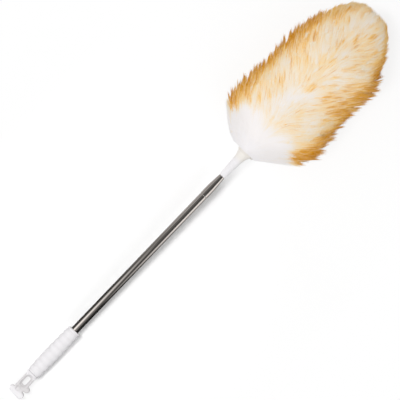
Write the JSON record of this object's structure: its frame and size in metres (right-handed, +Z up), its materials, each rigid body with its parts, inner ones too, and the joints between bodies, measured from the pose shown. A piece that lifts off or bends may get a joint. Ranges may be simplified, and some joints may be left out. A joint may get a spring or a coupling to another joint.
{
  "type": "extendable duster",
  "caption": "Fluffy lambswool dusting head on a chromed telescopic pole with twist locks, a banded plastic grip and a slotted hanging end.",
  "frame": {"origin": "middle of the part's bounding box, on the floor that the grip and the wool lie on", "axes": "+X along the length, from the hanging end to the tip of the wool; +Z up from the floor"},
  "size_m": [0.843, 0.1676, 0.107],
  "materials": {
    "plastic": "white moulded plastic with a soft gloss",
    "chrome": "bright chromed steel tube",
    "nylon": "natural moulded nylon",
    "steel": "plain steel wire and tack",
    "wood": "unvarnished dowel",
    "hide": "tanned sheepskin, flesh side",
    "wool": "long lambswool pile, white at the roots with cream and ochre-brown tips"
  },
  "bodies": {
    "handle": {"hang_loop": "plastic", "handle_grip": "plastic", "tube_stop": "nylon", "outer_tube": "chrome"},
    "lower_lock": {"lower_lock_ring": "nylon"},
    "middle": {"middle_tube": "chrome", "lower_lock_plug": "nylon", "lower_guide_sleeve": "nylon"},
    "upper_lock": {"upper_lock_ring": "nylon"},
    "head": {"inner_tube": "chrome", "upper_lock_plug": "nylon", "upper_guide_sleeve": "nylon", "ferrule": "chrome", "neck": "plastic", "core_rod": "wood", "pelt": "hide", "hem_ring": "steel", "tip_tack": "steel", "fleece": "wool"}
  },
  "joints": [
    {"name": "lower_slide", "type": "slide", "parent": "handle", "child": "lower_lock", "axis": [0.9991, 0, 0.0416], "range_m": [0, 0.326]},
    {"name": "lower_twist", "type": "hinge", "parent": "lower_lock", "child": "middle", "pos_m": [-0.34482, 0.00155, 0.01249], "axis": [0.9991, 0, 0.0416], "range_deg": [-40, 40]},
    {"name": "upper_slide", "type": "slide", "parent": "middle", "child": "upper_lock", "axis": [0.9991, 0, 0.0416], "range_m": [0, 0.31]},
    {"name": "upper_twist", "type": "hinge", "parent": "upper_lock", "child": "head", "pos_m": [-0.31684, 0.00155, 0.01366], "axis": [0.9991, 0, 0.0416], "range_deg": [-40, 40]}
  ]
}
